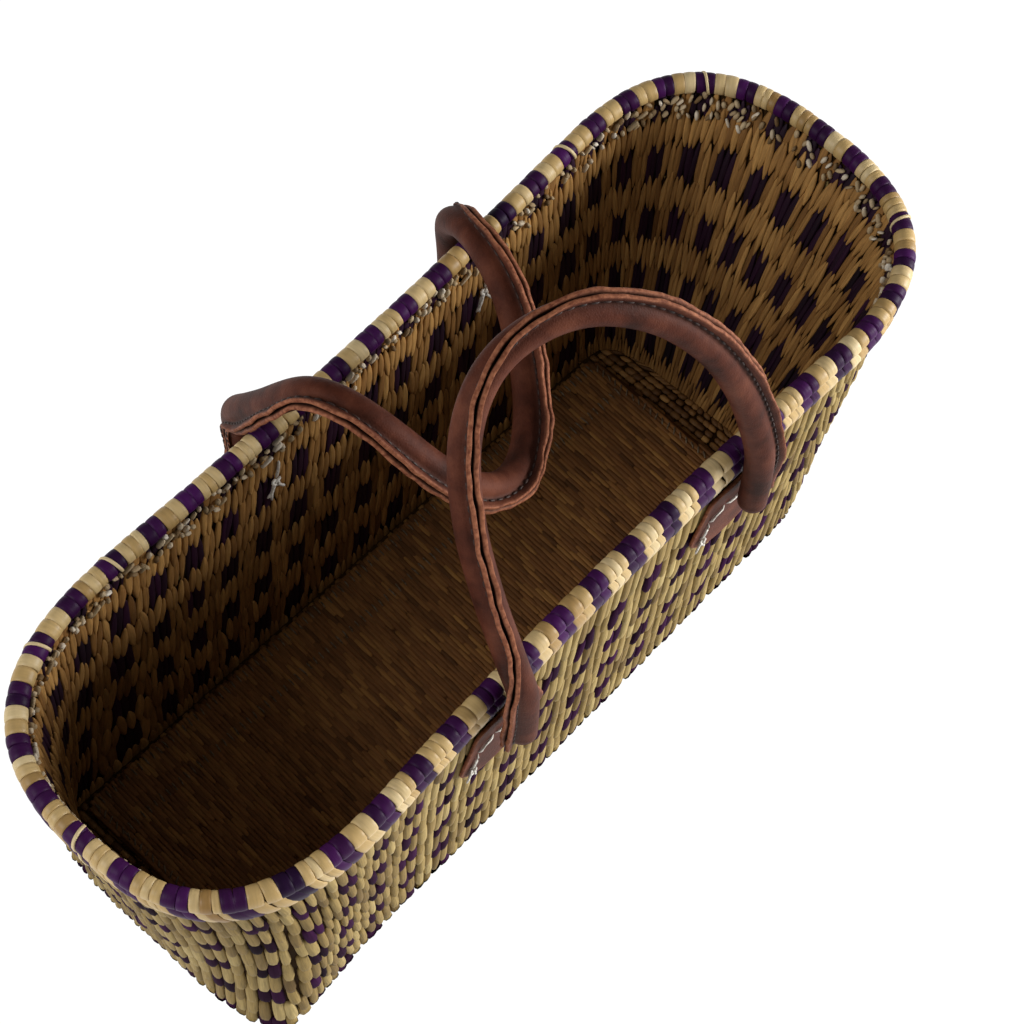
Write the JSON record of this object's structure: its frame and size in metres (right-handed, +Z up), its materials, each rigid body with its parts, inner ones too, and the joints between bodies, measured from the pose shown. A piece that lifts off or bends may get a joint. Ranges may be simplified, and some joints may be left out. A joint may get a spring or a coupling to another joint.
{
  "type": "seagrass basket bag",
  "caption": "Long open-topped woven basket with a checked rim binding, a rush floor mat and rolled leather carrying handles that swing on sewn tabs.",
  "frame": {"origin": "centre of the whole part's box, at the level it stands on", "axes": "+X along the basket, -Y the near long side with the upright handle, +Z up"},
  "size_m": [0.5102, 0.2068, 0.3539],
  "materials": {
    "straw": "twined seagrass strips, half matte",
    "bound_strip": "flat glossy strip, alternating natural and purple",
    "rush": "plain rush mat, matte",
    "leather": "smooth waxed leather with raw cut edges",
    "rope": "plain fibre rope",
    "waxed_thread": "white waxed thread",
    "seam_thread": "dark sewing thread"
  },
  "bodies": {
    "basket": {"woven_wall": "straw", "base_panel": "straw", "rim_core": "rope", "rim_binding": "bound_strip", "floor_mat": "rush", "mat_edge_thread": "waxed_thread", "front_left_tab": "leather", "front_left_tab_thread": "waxed_thread", "front_left_tie_off": "waxed_thread", "front_right_tab": "leather", "front_right_tab_thread": "waxed_thread", "front_right_tie_off": "waxed_thread", "rear_left_tab": "leather", "rear_left_tab_thread": "waxed_thread", "rear_left_tie_off": "waxed_thread", "rear_right_tab": "leather", "rear_right_tab_thread": "waxed_thread", "rear_right_tie_off": "waxed_thread"},
    "front_handle": {"front_handle_leather": "leather", "front_handle_rope": "rope", "front_handle_seam": "seam_thread"},
    "rear_handle": {"rear_handle_leather": "leather", "rear_handle_rope": "rope", "rear_handle_seam": "seam_thread"}
  },
  "joints": [
    {"name": "front_handle_swing", "type": "hinge", "parent": "basket", "child": "front_handle", "pos_m": [0.00897, -0.09549, 0.145], "axis": [1, 0, 0], "range_deg": [0, 140]},
    {"name": "rear_handle_swing", "type": "hinge", "parent": "basket", "child": "rear_handle", "pos_m": [0.01447, 0.09554, 0.145], "axis": [-1, 0, 0], "range_deg": [0, 140]}
  ]
}
